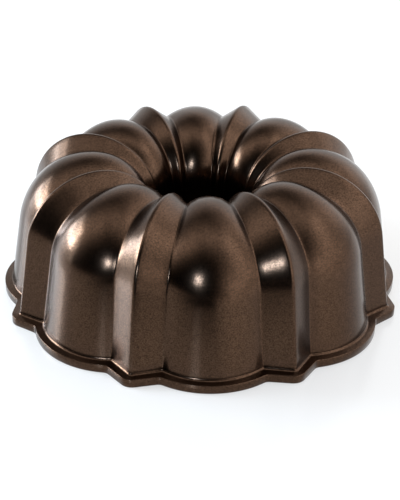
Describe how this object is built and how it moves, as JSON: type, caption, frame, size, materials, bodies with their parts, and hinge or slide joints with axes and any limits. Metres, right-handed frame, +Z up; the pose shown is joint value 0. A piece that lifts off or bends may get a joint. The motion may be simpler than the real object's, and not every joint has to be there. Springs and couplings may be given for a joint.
{
  "type": "bundt pan",
  "caption": "Fluted ring cake pan in cast aluminium, with rounded lobes and narrow ridges that run over the crown into a centre tube, and a scalloped rim flange.",
  "frame": {"origin": "centre of the rim plane, on the axis of the centre tube", "axes": "+Z up along the centre tube's axis, from the rim plane to the crown; a lobe is centred on -Y"},
  "size_m": [0.2694, 0.2694, 0.0975],
  "materials": {
    "bronze_coating": "metallic bronze bakeware coating, semi-gloss, fine sparkle",
    "dark_nonstick": "dark grey non-stick coating, satin"
  },
  "bodies": {
    "root": {"fluted_wall": "bronze_coating", "crown": "bronze_coating", "centre_tube": "bronze_coating", "tube_collar": "dark_nonstick", "rim_flange": "bronze_coating"}
  },
  "joints": []
}
